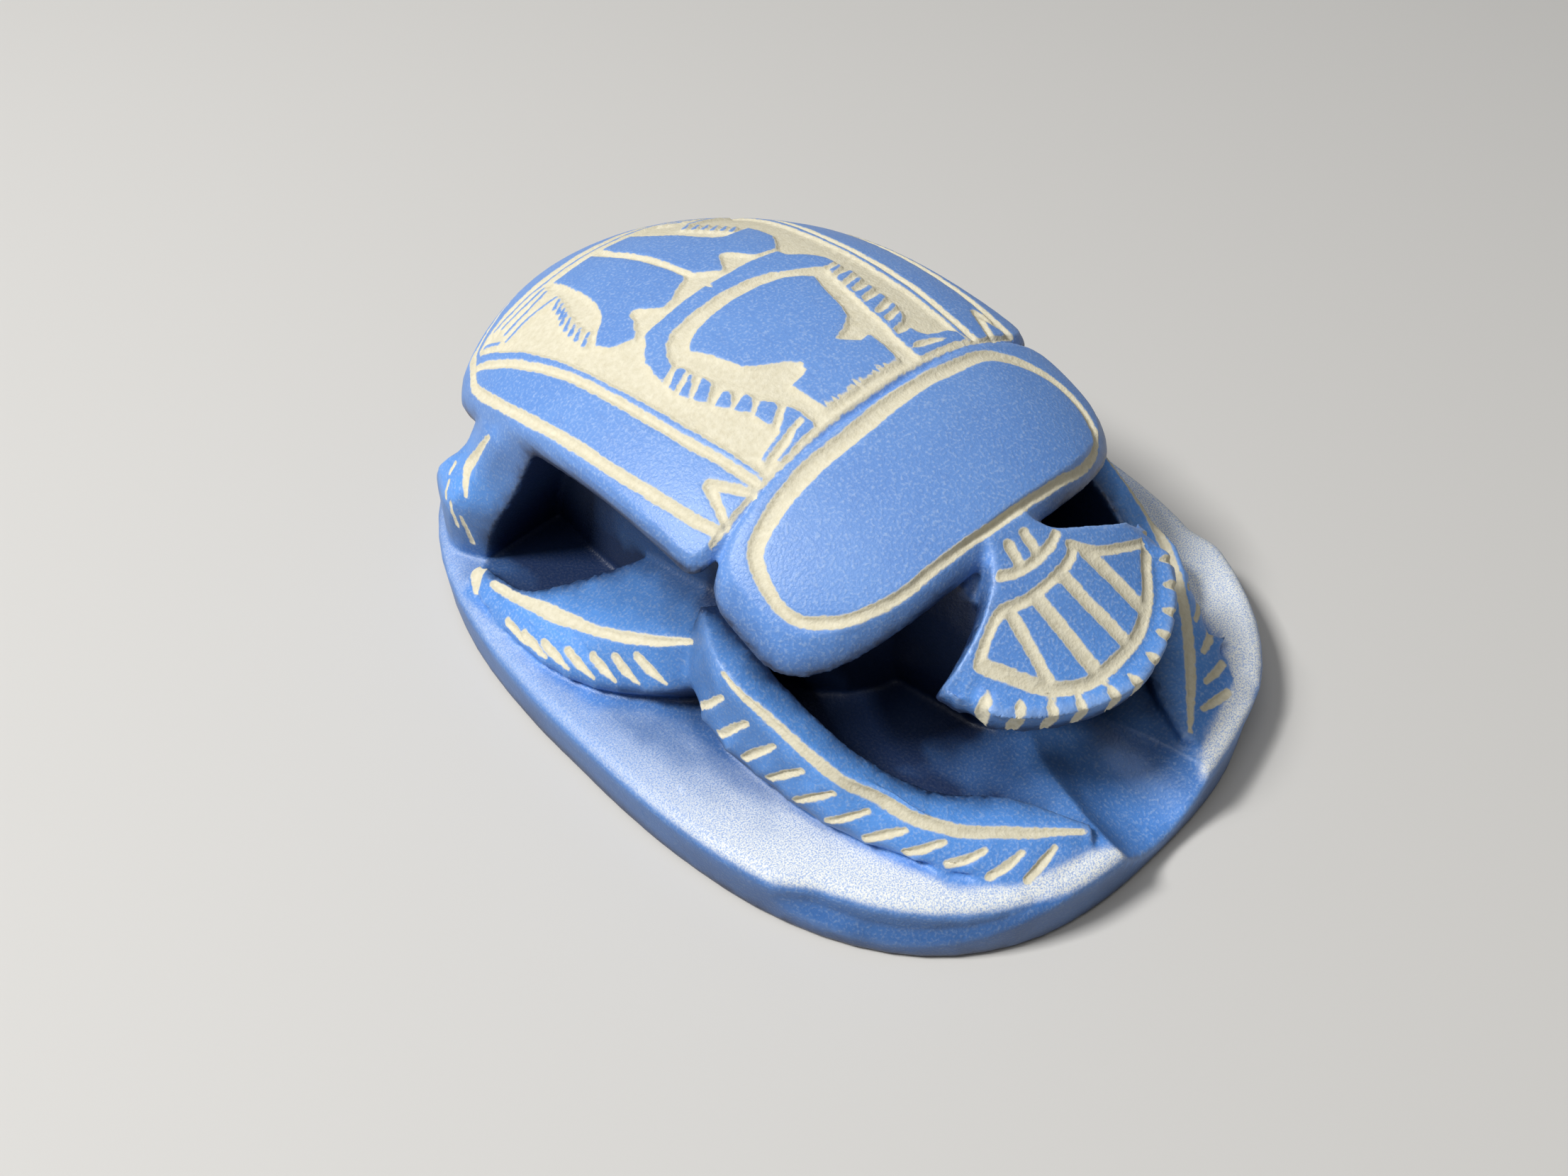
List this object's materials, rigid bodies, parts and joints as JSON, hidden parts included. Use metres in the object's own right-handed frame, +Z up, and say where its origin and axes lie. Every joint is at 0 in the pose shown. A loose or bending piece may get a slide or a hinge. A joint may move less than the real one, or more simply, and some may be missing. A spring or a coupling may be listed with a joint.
{
  "type": "scarab amulet",
  "caption": "Beetle carved from one block of blue-dyed soft stone, with patterned wing cases, a fan-shaped head and open legs on a flat oval base.",
  "frame": {"origin": "middle of the flat underside of the oval base", "axes": "+Z up from the underside, -Y towards the beetle's head, +X towards its left side"},
  "size_m": [0.0594, 0.08, 0.0304],
  "materials": {
    "blue_stone": "satin"
  },
  "bodies": {
    "root": {"scarab": "blue_stone"}
  },
  "joints": []
}
